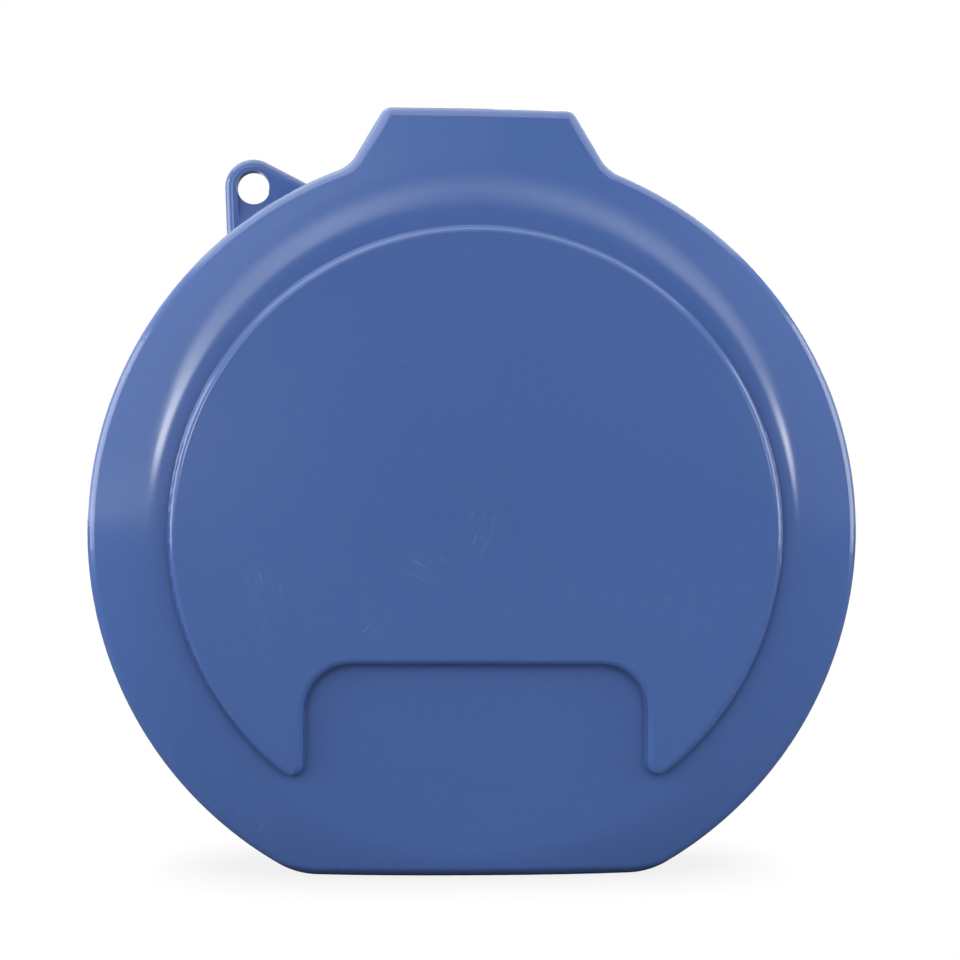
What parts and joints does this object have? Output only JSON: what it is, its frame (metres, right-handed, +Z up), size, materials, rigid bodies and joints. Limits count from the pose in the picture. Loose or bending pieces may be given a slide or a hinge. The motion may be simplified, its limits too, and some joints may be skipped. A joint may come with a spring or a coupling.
{
  "type": "ice fishing tip-up",
  "caption": "Round insulated clamshell tip-up: hinged blue case with flat foot and lanyard lug, swing-out reel arm, spool, trip rod and sprung flag.",
  "frame": {"origin": "middle of the flat foot, halfway through the closed case's thickness", "axes": "+Z up from the foot to the hinge tab, -Y out of the lid's face, +Y out of the ice face, +X to the right as the lid is seen"},
  "size_m": [0.3, 0.051, 0.2988],
  "materials": {
    "shell_blue": "moulded blue polypropylene, satin gloss, light scuffs",
    "deck_blue": "moulded blue polypropylene, fine matt texture",
    "foam_white": "expanded bead foam",
    "black_plastic": "glass filled nylon, matt",
    "nylon": "natural nylon",
    "spool_plastic": "moulded black acetal, satin",
    "orange_plastic": "moulded orange plastic",
    "steel": "zinc plated steel",
    "spring_steel": "spring steel strip and wire",
    "aluminium": "drawn aluminium tube",
    "magnet": "nickel plated magnet",
    "line": "braided line",
    "flag_orange": "woven blaze orange nylon"
  },
  "bodies": {
    "base": {"base_shell": "shell_blue", "base_foam": "foam_white", "deck_plate": "deck_blue", "deck_screws": "steel", "hinge_pin": "steel", "hinge_pin_cap": "black_plastic", "base_magnets": "magnet", "flag_bracket": "steel", "bracket_screws": "steel", "flag_pin": "steel", "pivot_screws": "steel"},
    "lid": {"lid_shell": "shell_blue", "lid_foam": "foam_white", "lid_magnets": "magnet"},
    "flag": {"flag_holder": "black_plastic", "flag_staff": "spring_steel", "flag_cloth": "flag_orange", "flag_rivets": "steel", "flag_spring": "spring_steel"},
    "arm": {"arm_tube": "aluminium", "pivot_block": "black_plastic", "pivot_bushes": "nylon", "reel_frame": "black_plastic", "spool_bolt": "steel", "drag_washers": "nylon", "line_guide": "steel", "line_lead": "line", "arm_screws": "steel", "tube_bush_upper": "nylon", "tube_bush_lower": "nylon"},
    "trip": {"trip_rod": "steel", "trip_head": "orange_plastic"},
    "spool": {"spool": "spool_plastic", "spool_line": "line"},
    "knob": {"winding_knob": "orange_plastic"},
    "drag_nut": {"wing_nut": "steel"}
  },
  "joints": [
    {"name": "lid_hinge", "type": "hinge", "parent": "base", "child": "lid", "pos_m": [0, -0.0005, 0.2928], "axis": [-1, 0, 0], "range_deg": [0, 180]},
    {"name": "flag_pivot", "type": "hinge", "parent": "base", "child": "flag", "pos_m": [0.009, -0.0085, 0.2604], "axis": [-1, 0, 0], "range_deg": [0, 90]},
    {"name": "arm_swing", "type": "hinge", "parent": "base", "child": "arm", "pos_m": [0, 0.013, 0.0354], "axis": [-1, 0, 0], "range_deg": [0, 90]},
    {"name": "trip_turn", "type": "hinge", "parent": "arm", "child": "trip", "pos_m": [0, 0.013, 0.0354], "axis": [0, 0, 1], "range_deg": [0, 90]},
    {"name": "spool_spin", "type": "hinge", "parent": "arm", "child": "spool", "pos_m": [0, 0.0095, 0.2094], "axis": [0, 1, 0], "continuous": true},
    {"name": "knob_spin", "type": "hinge", "parent": "spool", "child": "knob", "pos_m": [0, 0.021, 0.2324], "axis": [0, 1, 0], "continuous": true},
    {"name": "drag_nut_turn", "type": "hinge", "parent": "arm", "child": "drag_nut", "pos_m": [0, 0.021, 0.2094], "axis": [0, 1, 0], "range_deg": [-180, 180]}
  ],
  "couplings": [
    {"joint": "flag_pivot", "follows": "lid_hinge", "ratio": 0.5}
  ]
}
